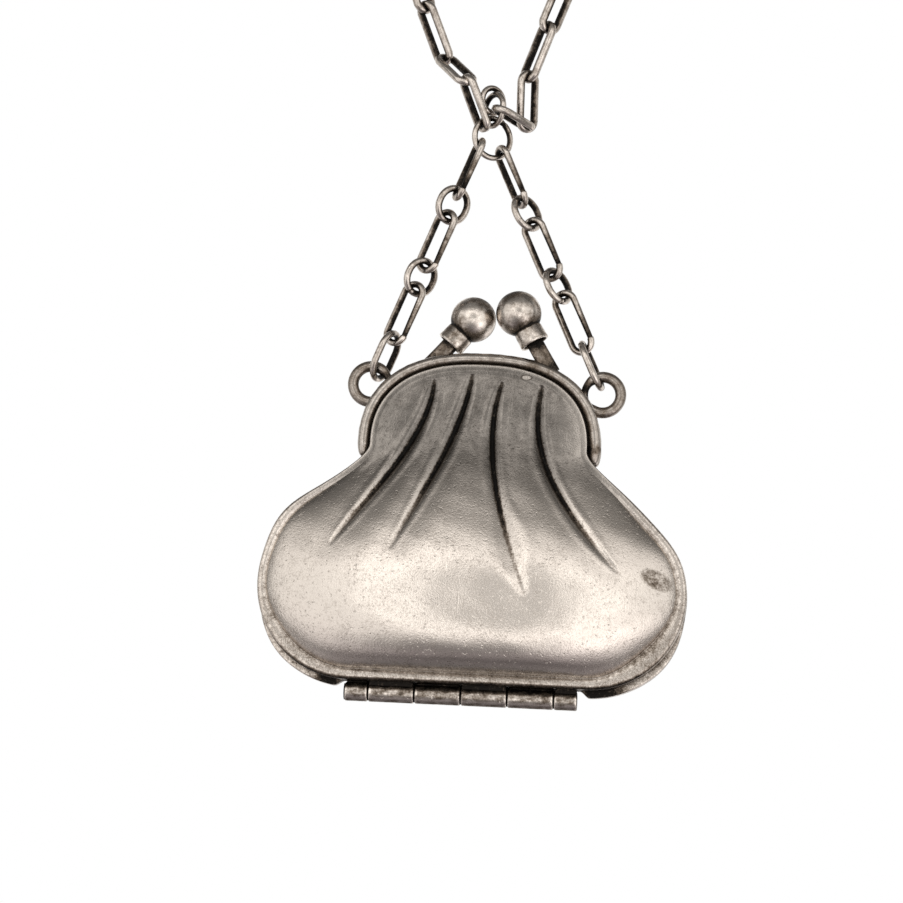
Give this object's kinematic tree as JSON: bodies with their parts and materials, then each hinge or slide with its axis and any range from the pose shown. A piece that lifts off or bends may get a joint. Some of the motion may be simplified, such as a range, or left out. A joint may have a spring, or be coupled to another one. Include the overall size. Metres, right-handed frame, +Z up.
{
  "type": "purse necklace",
  "caption": "Silver locket shaped like a pleated purse, with a bottom hinge and a kiss clasp, hung by chain handles from a link necklace that goes round the neck.",
  "frame": {"origin": "centre of the plain clasp ring at the top of the loop, where the necklace rests on the nape of the neck", "axes": "+Z up, +X to the right seen from the front, -Y towards the viewer, out of the purse's front panel"},
  "size_m": [0.0889, 0.0116, 0.223],
  "materials": {
    "shell_silver": "satin silver, worn bright on the belly, dark oxide in the pleats",
    "frame_silver": "satin silver with oxide in the joins",
    "ball_silver": "half-bright silver",
    "pin_silver": "dull silver",
    "handle_silver": "satin silver, warm grey",
    "necklace_silver": "satin silver, warm grey"
  },
  "bodies": {
    "chain": {"handle_left_bail_ring": "handle_silver", "handle_left_link_1": "handle_silver", "handle_left_ring_1": "handle_silver", "handle_left_link_2": "handle_silver", "handle_left_ring_2": "handle_silver", "handle_left_link_3": "handle_silver", "handle_right_bail_ring": "handle_silver", "handle_right_link_1": "handle_silver", "handle_right_ring_1": "handle_silver", "handle_right_link_2": "handle_silver", "handle_right_ring_2": "handle_silver", "handle_right_link_3": "handle_silver", "junction_ring_front": "handle_silver", "junction_ring_rear": "handle_silver", "junction_ring_side": "handle_silver", "necklace_left": "necklace_silver", "necklace_right": "necklace_silver", "necklace_clasp": "necklace_silver"},
    "purse_back": {"back_shell": "shell_silver", "back_frame": "frame_silver", "back_knob": "ball_silver", "hinge_pin": "pin_silver"},
    "purse_front": {"front_shell": "shell_silver", "front_frame": "frame_silver", "front_knob": "ball_silver"}
  },
  "joints": [
    {"name": "purse_swing", "type": "hinge", "parent": "chain", "child": "purse_back", "pos_m": [0, 0.00055, -0.19226], "axis": [1, 0, 0], "range_deg": [-60, 60]},
    {"name": "purse_open", "type": "hinge", "parent": "purse_back", "child": "purse_front", "pos_m": [-0.0005, 0, -0.22131], "axis": [1, 0, 0], "range_deg": [0, 150]}
  ]
}
